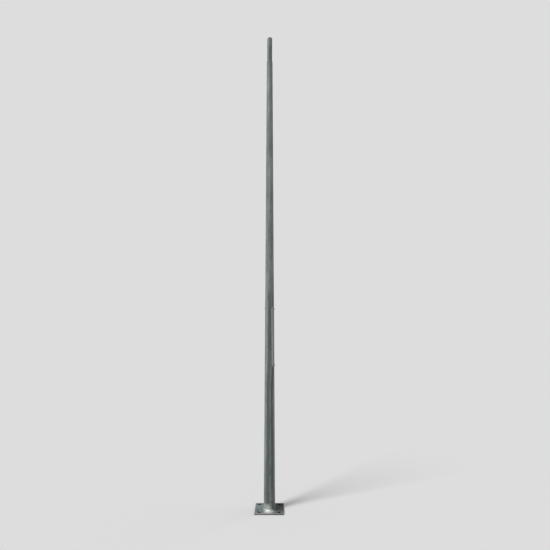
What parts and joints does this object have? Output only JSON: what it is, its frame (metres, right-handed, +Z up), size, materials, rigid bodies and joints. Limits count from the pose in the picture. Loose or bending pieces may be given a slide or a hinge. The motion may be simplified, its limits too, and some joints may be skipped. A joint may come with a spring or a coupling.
{
  "type": "conical steel pole",
  "caption": "Galvanised conical steel pole: tapered round shaft welded on a square slotted base plate, hinged service door in a raised frame, plain spigot on top.",
  "frame": {"origin": "centre of the base plate's underside, on the foundation's surface", "axes": "+Z up along the shaft, the service door faces +X, the plate's sides run along X and Y"},
  "size_m": [0.3, 0.3, 5.405],
  "materials": {
    "shaft_zinc": "hot-dip galvanised, dull grey with blotches, fine spangle and long vertical streaks",
    "plate_zinc": "hot-dip galvanised, dull blue-grey, brighter in front of the foot",
    "weld_zinc": "bright zinc over rippled weld metal",
    "door_zinc": "hot-dip galvanised, a little darker than the shaft",
    "frame_zinc": "hot-dip galvanised, lighter than the shaft, so that the rim shows as a thin light line",
    "hinge_zinc": "galvanised",
    "rail_zinc": "galvanised, clean because it is inside the shaft",
    "fixings": "zinc-plated, slightly worn"
  },
  "bodies": {
    "pole": {"base_plate": "plate_zinc", "foot_weld": "weld_zinc", "shaft_lower": "shaft_zinc", "shaft_door_band": "shaft_zinc", "shaft_upper": "shaft_zinc", "seam_weld": "shaft_zinc", "spigot": "shaft_zinc", "spigot_weld": "weld_zinc", "door_frame": "frame_zinc", "cross_bar_lower": "shaft_zinc", "cross_bar_upper": "shaft_zinc", "fixed_leaf_lower": "hinge_zinc", "fixed_leaf_upper": "hinge_zinc", "hinge_pin_lower": "fixings", "hinge_pin_upper": "fixings", "equipment_rail": "rail_zinc", "rail_foot": "shaft_zinc", "rail_spacer": "rail_zinc", "rail_bolt": "fixings", "rail_nut": "fixings", "earth_stud": "fixings", "earth_nut": "fixings"},
    "door": {"door_panel": "door_zinc", "door_leaf_lower": "hinge_zinc", "door_leaf_upper": "hinge_zinc", "door_screw_lower": "fixings", "door_screw_upper": "fixings"}
  },
  "joints": [
    {"name": "door_hinge", "type": "hinge", "parent": "pole", "child": "door", "pos_m": [0.03017, 0.0498, 1.795], "axis": [-0.0025, -0.0042, 1], "range_deg": [0, 120]}
  ]
}
